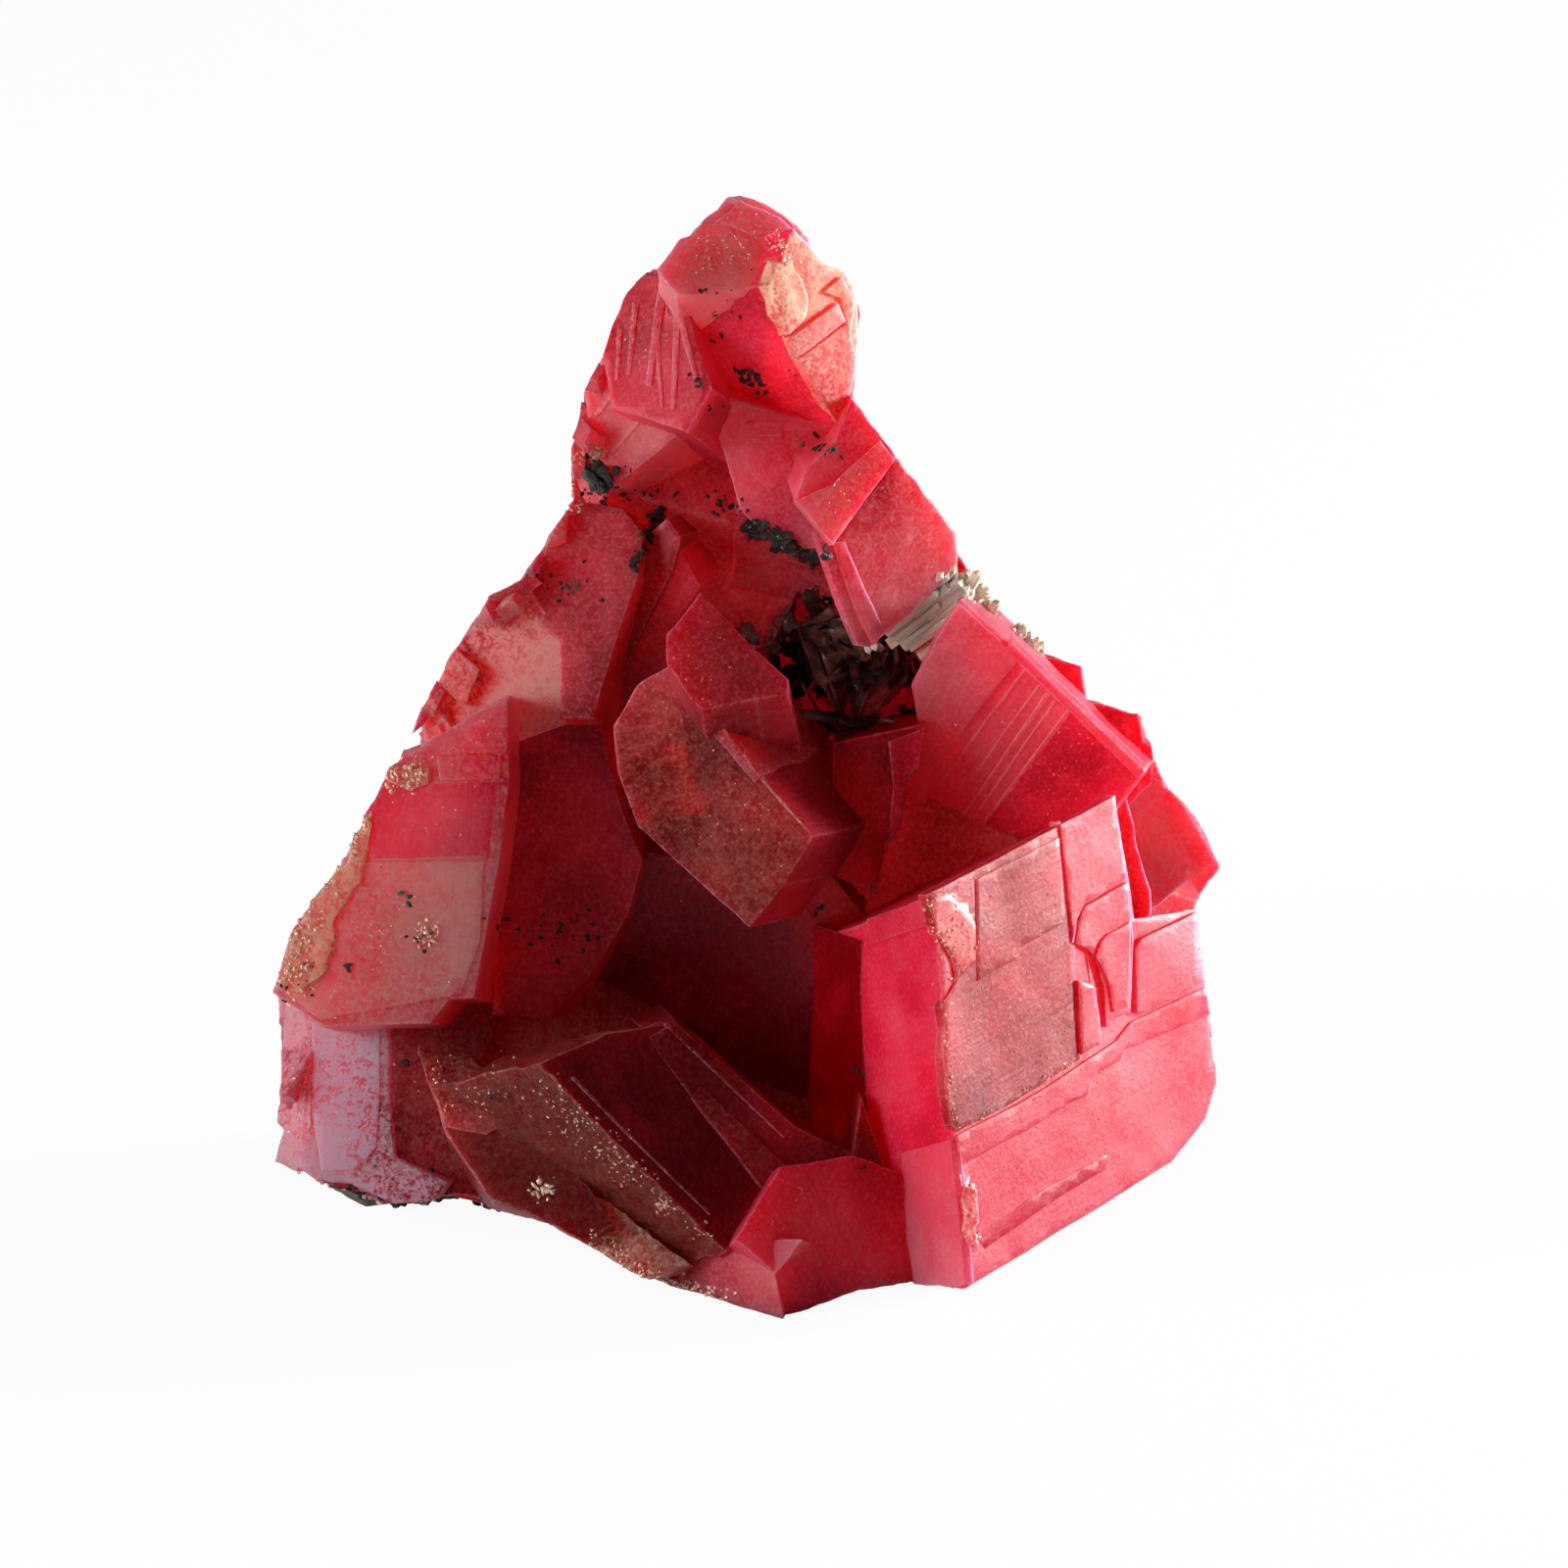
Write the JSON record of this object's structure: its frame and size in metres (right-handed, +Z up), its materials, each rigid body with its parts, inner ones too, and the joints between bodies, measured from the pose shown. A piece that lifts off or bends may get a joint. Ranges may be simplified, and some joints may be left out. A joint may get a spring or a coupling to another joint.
{
  "type": "rhodochrosite specimen",
  "caption": "Hand-sized cluster of red rhombohedral crystals on wall rock, with quartz needles and dark sulphide grains, standing on a flat broken base.",
  "frame": {"origin": "centre of the bounding box, at the level of the flat base", "axes": "+Z up, -Y out of the display face where the crystals show, +X to the right as seen from the front"},
  "size_m": [0.0974, 0.0776, 0.108],
  "materials": {
    "rhodochrosite": "translucent crimson crystal, clean on the big faces and frosted pink where they are etched",
    "wall_rock": "rough grey-green stone with dark sulphide and pale quartz",
    "quartz": "cloudy colourless to cream quartz",
    "smoky_quartz": "dark brown, half clear quartz blades",
    "sulphide": "near-black metallic grains, greenish where weathered"
  },
  "bodies": {
    "root": {"rhodochrosite_cluster": "rhodochrosite", "wall_rock": "wall_rock", "quartz_spray": "quartz", "pocket_needles": "smoky_quartz", "sulphide_knob": "sulphide", "sulphide_seam": "sulphide", "sulphide_wedge": "sulphide", "quartz_crust": "quartz"}
  },
  "joints": []
}
